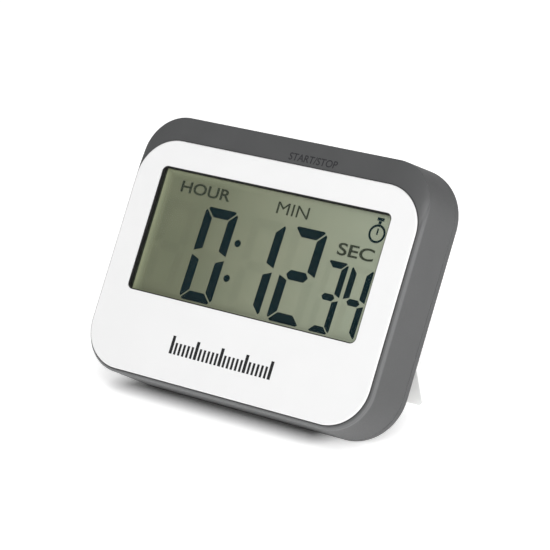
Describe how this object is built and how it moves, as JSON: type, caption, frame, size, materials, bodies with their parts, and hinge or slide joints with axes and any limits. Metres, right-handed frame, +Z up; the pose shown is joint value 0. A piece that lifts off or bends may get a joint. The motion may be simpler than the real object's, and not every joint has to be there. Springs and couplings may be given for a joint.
{
  "type": "digital countdown timer",
  "caption": "Digital timer with a large display in a white panel, a grey case, a start key on top, keys on the back and a fold-out stand.",
  "frame": {"origin": "on the table under the middle of the timer", "axes": "+X right along the width of the display, -Y towards the viewer, +Z up"},
  "size_m": [0.0968, 0.056, 0.0757],
  "materials": {
    "case_grey": "fine matt texture",
    "panel_white": "satin gloss",
    "stand_white": "satin",
    "gasket_black": "matt",
    "lens_clear": "polished acrylic",
    "lcd_film": "olive grey polarizing film",
    "lcd_glass": "polished",
    "reflector": "brushed film",
    "holder_white": "moulded",
    "strip_rubber": "layered silicone",
    "board_green": "solder mask",
    "epoxy_black": "glossy epoxy",
    "can_steel": "drawn can",
    "screw_steel": "nickel plated",
    "switch_black": "moulded",
    "switch_metal": "stamped",
    "plunger_white": "moulded",
    "key_grey": "fine matt texture",
    "brass_disc": "rolled",
    "piezo_ceramic": "silvered ceramic",
    "spring_steel": "drawn wire",
    "cell_wrap": "printed film sleeve",
    "contact_nickel": "nickel plated"
  },
  "bodies": {
    "case": {"front_housing": "case_grey", "rear_cover": "case_grey", "front_panel": "panel_white", "window_gasket": "gasket_black", "display_lens": "lens_clear", "front_polarizer": "lcd_film", "display_front_glass": "lcd_glass", "display_rear_glass": "lcd_glass", "rear_reflector": "reflector", "display_holder": "holder_white", "contact_strips": "strip_rubber", "main_board": "board_green", "processor_blob": "epoxy_black", "quartz_crystal": "can_steel", "board_chips": "epoxy_black", "board_screws": "screw_steel", "case_screws": "screw_steel", "key_switches": "switch_black", "start_switch": "switch_black", "slide_switch": "switch_metal", "buzzer_plate": "brass_disc", "buzzer_ceramic": "piezo_ceramic", "buzzer_springs": "spring_steel", "battery_cell": "cell_wrap", "battery_contacts": "contact_nickel", "battery_spring": "spring_steel"},
    "start_key": {"start_key": "case_grey", "start_plunger": "plunger_white"},
    "mode_knob": {"mode_knob": "key_grey", "mode_slider": "switch_black"},
    "battery_door": {"battery_door": "case_grey"},
    "stand": {"stand": "stand_white"},
    "hour_key": {"hour_key": "key_grey", "hour_plunger": "plunger_white"},
    "minute_key": {"minute_key": "key_grey", "minute_plunger": "plunger_white"},
    "second_key": {"second_key": "key_grey", "second_plunger": "plunger_white"},
    "reset_key": {"reset_key": "key_grey", "reset_plunger": "plunger_white"}
  },
  "joints": [
    {"name": "start_key_press", "type": "slide", "parent": "case", "child": "start_key", "axis": [0, -0.5, -0.866], "range_m": [0, 0.0006], "stiffness_N_per_m": 1500, "springref_m": -0.0007},
    {"name": "hour_key_press", "type": "slide", "parent": "case", "child": "hour_key", "axis": [0, -0.866, 0.5], "range_m": [0, 0.0006], "stiffness_N_per_m": 1500, "springref_m": -0.0007},
    {"name": "minute_key_press", "type": "slide", "parent": "case", "child": "minute_key", "axis": [0, -0.866, 0.5], "range_m": [0, 0.0006], "stiffness_N_per_m": 1500, "springref_m": -0.0007},
    {"name": "second_key_press", "type": "slide", "parent": "case", "child": "second_key", "axis": [0, -0.866, 0.5], "range_m": [0, 0.0006], "stiffness_N_per_m": 1500, "springref_m": -0.0007},
    {"name": "reset_key_press", "type": "slide", "parent": "case", "child": "reset_key", "axis": [0, -0.866, 0.5], "range_m": [0, 0.0006], "stiffness_N_per_m": 1500, "springref_m": -0.0007},
    {"name": "mode_knob_slide", "type": "slide", "parent": "case", "child": "mode_knob", "axis": [1, 0, 0], "range_m": [0, 0.003]},
    {"name": "battery_door_slide", "type": "slide", "parent": "case", "child": "battery_door", "axis": [1, 0, 0], "range_m": [0, 0.0075]},
    {"name": "stand_fold", "type": "hinge", "parent": "case", "child": "stand", "pos_m": [0, 0.00932, 0.0376], "axis": [-1, 0, 0], "range_deg": [0, 47.5]}
  ]
}
